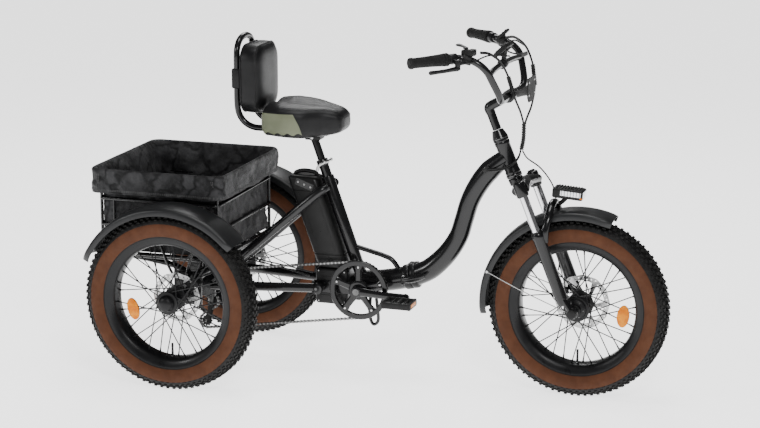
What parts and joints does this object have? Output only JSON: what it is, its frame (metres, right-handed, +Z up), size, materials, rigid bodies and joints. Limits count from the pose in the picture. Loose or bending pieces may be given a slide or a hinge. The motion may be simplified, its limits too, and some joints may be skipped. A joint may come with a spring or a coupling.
{
  "type": "adult tricycle",
  "caption": "Adult electric tricycle with a folding step-through frame, fat tyres, a padded seat with a backrest and a lined rear basket.",
  "frame": {"origin": "on the ground, under the middle of the overall length and width", "axes": "+X forward, from the basket to the front wheel; +Y to the rider's left; +Z up"},
  "size_m": [1.8312, 0.793, 1.1214],
  "materials": {
    "frame_paint": "glossy black paint over welded steel and aluminium tube",
    "fender_paint": "satin dark grey paint on pressed sheet",
    "tyre_rubber": "black knobbly tread with a brown sidewall ring",
    "rim_black": "satin black rims, spokes and hubs",
    "bare_steel": "bare steel with a fine brushed finish",
    "chrome_tube": "polished chrome fork tubes",
    "soft_rubber": "matte black rubber grips and cable covers",
    "seat_leather": "black synthetic leather with olive rear side panels",
    "basket_fabric": "black woven oxford cloth",
    "black_plastic": "moulded black plastic and black-coated small castings"
  },
  "bodies": {
    "rear_frame": {"main_frame_rear": "frame_paint", "rear_subframe": "frame_paint", "controller_box": "black_plastic", "derailleur": "black_plastic", "chain": "bare_steel", "basket_frame": "frame_paint", "basket_bag": "basket_fabric", "rear_fender_right": "fender_paint", "rear_fender_left": "fender_paint", "rear_caliper_right": "black_plastic", "rear_caliper_left": "black_plastic"},
    "front_frame": {"main_frame_front": "frame_paint", "frame_cable": "soft_rubber"},
    "hinge_latch": {"hinge_latch": "black_plastic"},
    "steering": {"fork_crown": "frame_paint", "stanchion_right": "chrome_tube", "stanchion_left": "chrome_tube", "stem": "frame_paint", "handlebar": "frame_paint", "shifter": "black_plastic", "display": "black_plastic", "control_pad": "black_plastic", "accessory_plate": "fender_paint", "cable_loom": "soft_rubber", "grip_right": "soft_rubber", "grip_left": "soft_rubber", "brake_perch_right": "black_plastic", "brake_perch_left": "black_plastic"},
    "fork_lowers": {"fork_lowers": "frame_paint", "front_fender": "fender_paint", "front_caliper": "black_plastic", "headlight": "black_plastic", "front_brake_hose": "soft_rubber"},
    "front_wheel": {"front_tyre": "tyre_rubber", "front_rim": "rim_black", "front_hub": "rim_black", "front_rotor": "bare_steel"},
    "rear_wheel_right": {"rear_tyre_right": "tyre_rubber", "rear_rim_right": "rim_black", "rear_hub_right": "rim_black", "rear_rotor_right": "bare_steel"},
    "rear_wheel_left": {"rear_tyre_left": "tyre_rubber", "rear_rim_left": "rim_black", "rear_hub_left": "rim_black", "rear_rotor_left": "bare_steel"},
    "crankset": {"crank_right": "frame_paint", "crank_left": "frame_paint", "chainring": "frame_paint"},
    "pedal_right": {"pedal_right": "black_plastic"},
    "pedal_left": {"pedal_left": "black_plastic"},
    "cassette": {"cassette": "bare_steel"},
    "battery": {"battery": "black_plastic"},
    "seat": {"seat_post": "frame_paint", "saddle": "seat_leather", "backrest_frame": "frame_paint", "backrest_pad": "seat_leather"},
    "seat_clamp_lever": {"seat_clamp_lever": "bare_steel"},
    "brake_lever_right": {"brake_lever_right": "black_plastic"},
    "brake_lever_left": {"brake_lever_left": "black_plastic"},
    "shift_lever": {"shift_lever": "black_plastic"}
  },
  "joints": [
    {"name": "frame_fold", "type": "hinge", "parent": "rear_frame", "child": "front_frame", "pos_m": [0.085, 0.048, 0.338], "axis": [0, 0, 1], "range_deg": [0, 105]},
    {"name": "hinge_latch_swing", "type": "hinge", "parent": "rear_frame", "child": "hinge_latch", "pos_m": [0.07, -0.056, 0.338], "axis": [0, 0, -1], "range_deg": [0, 110]},
    {"name": "steer", "type": "hinge", "parent": "front_frame", "child": "steering", "pos_m": [0.393, 0, 0.7435], "axis": [-0.3729, 0, 0.9279], "range_deg": [-50, 50], "deforming": ["frame_cable"]},
    {"name": "fork_travel", "type": "slide", "parent": "steering", "child": "fork_lowers", "axis": [-0.3729, 0, 0.9279], "range_m": [0, 0.05], "stiffness_N_per_m": 8000, "springref_m": -0.03, "deforming": ["front_brake_hose"]},
    {"name": "front_wheel_spin", "type": "hinge", "parent": "fork_lowers", "child": "front_wheel", "pos_m": [0.6275, 0, 0.286], "axis": [0, 1, 0], "continuous": true},
    {"name": "rear_wheel_right_spin", "type": "hinge", "parent": "rear_frame", "child": "rear_wheel_right", "pos_m": [-0.6085, -0.334, 0.286], "axis": [0, 1, 0], "continuous": true},
    {"name": "rear_wheel_left_spin", "type": "hinge", "parent": "rear_frame", "child": "rear_wheel_left", "pos_m": [-0.6085, 0.334, 0.286], "axis": [0, 1, 0], "continuous": true},
    {"name": "crank_spin", "type": "hinge", "parent": "rear_frame", "child": "crankset", "pos_m": [-0.076, 0, 0.295], "axis": [0, 1, 0], "continuous": true},
    {"name": "pedal_right_spin", "type": "hinge", "parent": "crankset", "child": "pedal_right", "pos_m": [0.0889, 0, 0.28924], "axis": [0, 1, 0], "continuous": true},
    {"name": "pedal_left_spin", "type": "hinge", "parent": "crankset", "child": "pedal_left", "pos_m": [-0.2409, 0, 0.30076], "axis": [0, 1, 0], "continuous": true},
    {"name": "cassette_spin", "type": "hinge", "parent": "rear_frame", "child": "cassette", "pos_m": [-0.6085, -0.06, 0.286], "axis": [0, 1, 0], "continuous": true},
    {"name": "seat_height", "type": "slide", "parent": "rear_frame", "child": "seat", "axis": [0.3387, 0, -0.9409], "range_m": [-0.1, 0]},
    {"name": "seat_clamp_swing", "type": "hinge", "parent": "rear_frame", "child": "seat_clamp_lever", "pos_m": [-0.19498, 0, 0.69828], "axis": [0, 1, 0], "range_deg": [0, 110]},
    {"name": "brake_lever_right_pull", "type": "hinge", "parent": "steering", "child": "brake_lever_right", "pos_m": [0.30014, -0.25057, 1.05862], "axis": [0, 0, -1], "range_deg": [0, 16], "stiffness_Nm_per_rad": 1, "springref_deg": -8.59},
    {"name": "brake_lever_left_pull", "type": "hinge", "parent": "steering", "child": "brake_lever_left", "pos_m": [0.30014, 0.25057, 1.05862], "axis": [0, 0, 1], "range_deg": [0, 16], "stiffness_Nm_per_rad": 1, "springref_deg": -8.59},
    {"name": "shift_lever_push", "type": "hinge", "parent": "steering", "child": "shift_lever", "pos_m": [0.31, -0.2, 1.1114], "axis": [0, 0, -1], "range_deg": [0, 20], "stiffness_Nm_per_rad": 0.5, "springref_deg": -5.73},
    {"name": "battery_slide", "type": "slide", "parent": "rear_frame", "child": "battery", "axis": [-0.3387, 0, 0.9409], "range_m": [0, 0.08]}
  ],
  "couplings": [
    {"joint": "cassette_spin", "follows": "crank_spin", "ratio": 3.2857}
  ]
}
